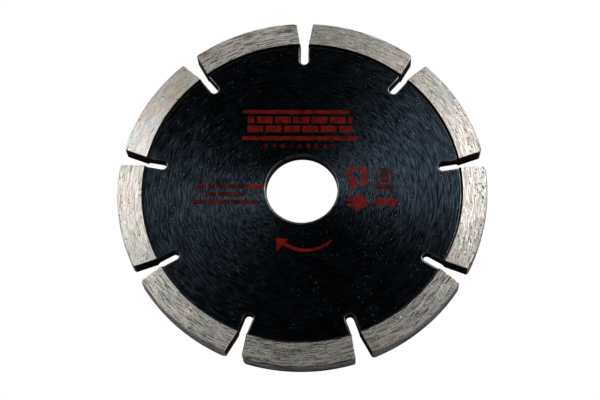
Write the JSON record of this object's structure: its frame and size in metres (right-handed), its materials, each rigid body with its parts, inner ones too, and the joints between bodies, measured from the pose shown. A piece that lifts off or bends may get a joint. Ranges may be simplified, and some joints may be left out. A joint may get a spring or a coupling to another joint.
{
  "type": "diamond blade",
  "caption": "Segmented diamond blade for an angle grinder: a black slotted steel core with a plain bore, and thick diamond segments brazed round its rim.",
  "frame": {"origin": "centre of the bore, half way through the steel core, which is also the blade's centre of mass", "axes": "+Z along the axis of the bore, out of the printed face; +Y through a slot; the blade lies in the XY plane"},
  "size_m": [0.115, 0.1149, 0.006],
  "materials": {
    "core_paint": "black satin paint over a circularly brushed steel face",
    "segment_metal": "sintered metal bond, ground along the rim, with small pits and grit",
    "braze_filler": "dull silver solder"
  },
  "bodies": {
    "root": {"steel_core": "core_paint", "segment_1": "segment_metal", "segment_2": "segment_metal", "segment_3": "segment_metal", "segment_4": "segment_metal", "segment_5": "segment_metal", "segment_6": "segment_metal", "segment_7": "segment_metal", "segment_8": "segment_metal", "segment_9": "segment_metal", "braze_joint_1": "braze_filler", "braze_joint_2": "braze_filler", "braze_joint_3": "braze_filler", "braze_joint_4": "braze_filler", "braze_joint_5": "braze_filler", "braze_joint_6": "braze_filler", "braze_joint_7": "braze_filler", "braze_joint_8": "braze_filler", "braze_joint_9": "braze_filler"}
  },
  "joints": []
}
